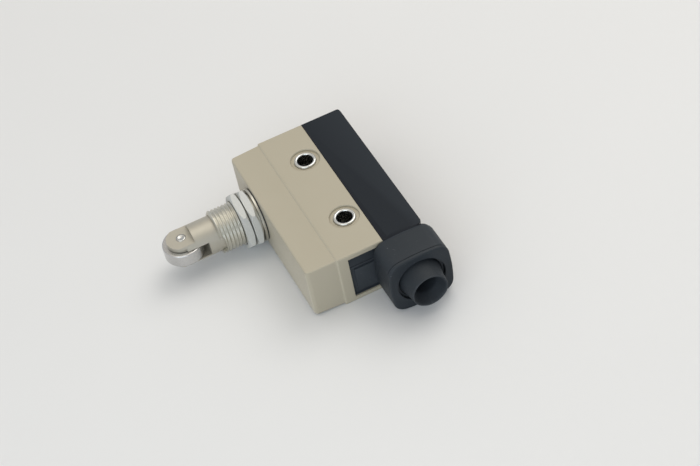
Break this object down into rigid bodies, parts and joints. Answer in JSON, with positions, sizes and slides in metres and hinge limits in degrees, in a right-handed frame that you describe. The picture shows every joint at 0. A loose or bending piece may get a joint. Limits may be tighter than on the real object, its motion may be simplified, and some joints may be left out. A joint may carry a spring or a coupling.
{
  "type": "limit switch",
  "caption": "Enclosed limit switch with a spring-return roller plunger in a threaded sleeve, through mounting holes and a side cable outlet with a rubber gland.",
  "frame": {"origin": "centre of the back face, halfway between the two mounting holes", "axes": "+Z out of the front face along the mounting holes, +X towards the cable outlet, -Y the way the plunger points"},
  "size_m": [0.0668, 0.063, 0.0175],
  "materials": {
    "painted_casting": "semi-gloss beige paint on a die casting",
    "black_plastic": "fine-textured black moulding",
    "grey_plastic": "dark grey moulding",
    "rubber": "moulded rubber",
    "nickel_plate": "satin nickel plate",
    "zinc_plate": "dull zinc plate",
    "steel": "ground steel",
    "spring_steel": "drawn spring steel",
    "phenolic": "brown phenolic moulding",
    "pale_plastic": "pale moulding",
    "brass": "stamped brass",
    "silver_contact": "silver contact metal"
  },
  "bodies": {
    "housing": {"case": "painted_casting", "terminal_cover": "black_plastic", "end_panel": "black_plastic", "conduit_cap": "grey_plastic", "gland_washer": "grey_plastic", "cable_gland": "rubber", "cover_gasket": "rubber", "sleeve_gasket": "rubber", "mounting_bush_far": "nickel_plate", "mounting_bush_near": "nickel_plate", "sleeve": "nickel_plate", "cover_screw_far": "zinc_plate", "cover_screw_near": "zinc_plate", "terminal_screw_1": "zinc_plate", "terminal_screw_2": "zinc_plate", "terminal_screw_3": "zinc_plate", "guide_pin": "steel", "return_spring": "spring_steel", "spring_seat": "spring_steel", "sleeve_ring": "spring_steel", "switch_base": "phenolic", "terminal_block": "phenolic", "switch_cover": "pale_plastic", "terminal_common": "brass", "terminal_normally_open": "brass", "terminal_normally_closed": "brass", "contact_normally_open": "silver_contact", "contact_normally_closed": "silver_contact"},
    "plunger": {"plunger": "nickel_plate", "plunger_seal": "rubber", "roller_pin": "steel", "rod_stop": "spring_steel"},
    "roller": {"roller": "steel"},
    "pusher": {"push_rod": "steel", "push_foot": "spring_steel", "push_button": "pale_plastic", "overtravel_spring": "spring_steel"},
    "blade": {"snap_blade": "brass", "moving_contact": "silver_contact"},
    "nut_inner": {"lock_nut_inner": "zinc_plate"},
    "nut_outer": {"lock_nut_outer": "zinc_plate"}
  },
  "joints": [
    {"name": "plunger_slide", "type": "slide", "parent": "housing", "child": "plunger", "axis": [0, 1, 0], "range_m": [0, 0.0045], "stiffness_N_per_m": 1200, "springref_m": -0.005, "deforming": ["return_spring", "overtravel_spring"]},
    {"name": "roller_spin", "type": "hinge", "parent": "plunger", "child": "roller", "pos_m": [-0.0096, -0.03895, 0.0085], "axis": [0, 0, 1], "continuous": true},
    {"name": "pusher_slide", "type": "slide", "parent": "housing", "child": "pusher", "axis": [0, 1, 0], "range_m": [0, 0.00045]},
    {"name": "blade_tilt", "type": "hinge", "parent": "housing", "child": "blade", "pos_m": [-0.00605, -0.00617, 0.0085], "axis": [0, 0, 1], "range_deg": [0, 2.4]},
    {"name": "nut_inner_turn", "type": "hinge", "parent": "housing", "child": "nut_inner", "pos_m": [-0.0096, -0.0196, 0.0085], "axis": [0, 1, 0], "continuous": true},
    {"name": "nut_outer_turn", "type": "hinge", "parent": "housing", "child": "nut_outer", "pos_m": [-0.0096, -0.022, 0.0085], "axis": [0, 1, 0], "continuous": true}
  ],
  "couplings": [
    {"joint": "pusher_slide", "follows": "plunger_slide", "ratio": 0.1},
    {"joint": "blade_tilt", "follows": "plunger_slide", "rad_per_m": 9.2}
  ]
}
